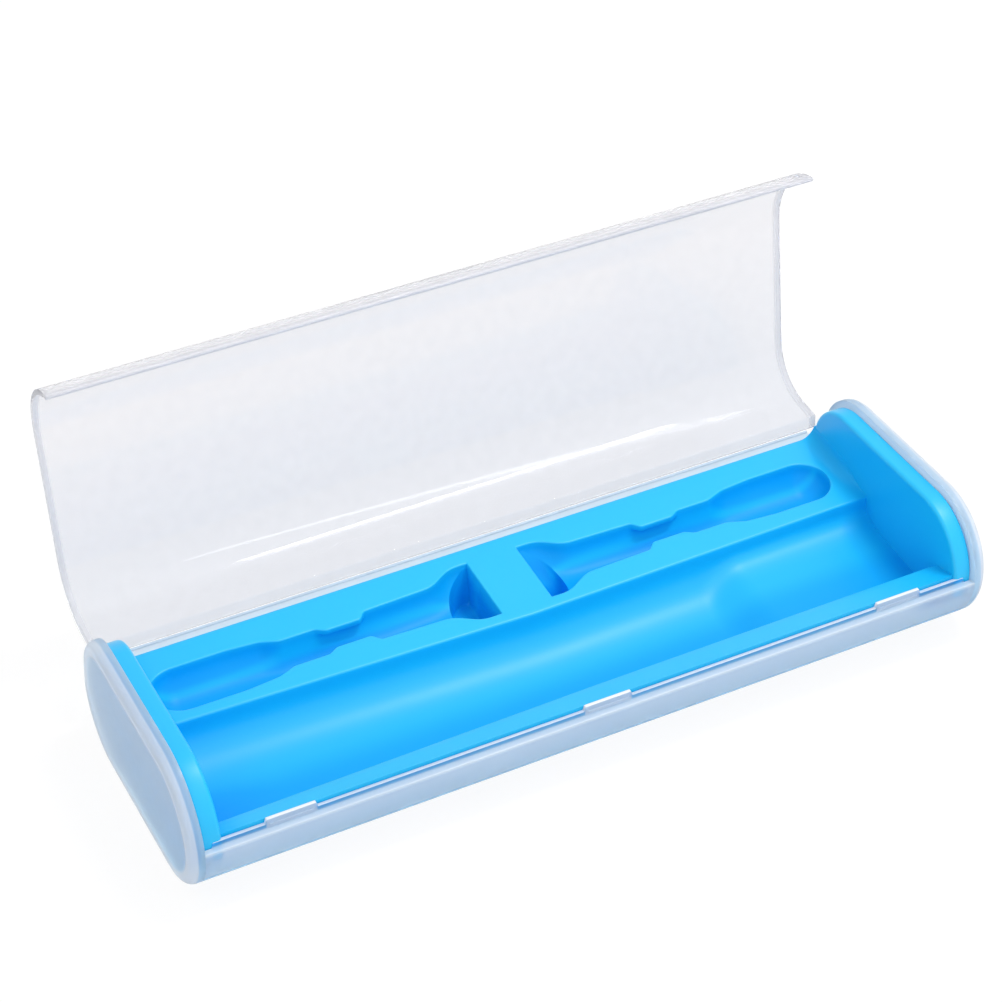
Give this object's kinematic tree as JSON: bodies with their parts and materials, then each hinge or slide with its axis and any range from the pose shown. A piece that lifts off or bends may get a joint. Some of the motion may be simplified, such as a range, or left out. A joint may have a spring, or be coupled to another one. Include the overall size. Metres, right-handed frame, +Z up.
{
  "type": "electric toothbrush travel case",
  "caption": "Long rounded travel case with full-height end caps, a film-hinged curved lid and an insert tray with a handle trough and brush head pockets.",
  "frame": {"origin": "centre of the flat underside, midway between the end caps", "axes": "+X along the case to the end where the handle trough is square-bottomed, +Y to the hinge side, +Z up out of the base"},
  "size_m": [0.2244, 0.1041, 0.0967],
  "materials": {
    "frosted_shell": "translucent frosted polypropylene with a satin gloss",
    "blue_tray": "bright sky blue moulded plastic with a soft gloss",
    "clear_lid": "milky clear polypropylene sheet, glossy"
  },
  "bodies": {
    "base": {"base_shell": "frosted_shell", "insert_tray": "blue_tray"},
    "lid": {"lid": "clear_lid"}
  },
  "joints": [
    {"name": "lid_hinge", "type": "hinge", "parent": "base", "child": "lid", "pos_m": [0, 0.03855, 0.0196], "axis": [1, 0, 0], "range_deg": [0, 97]}
  ]
}
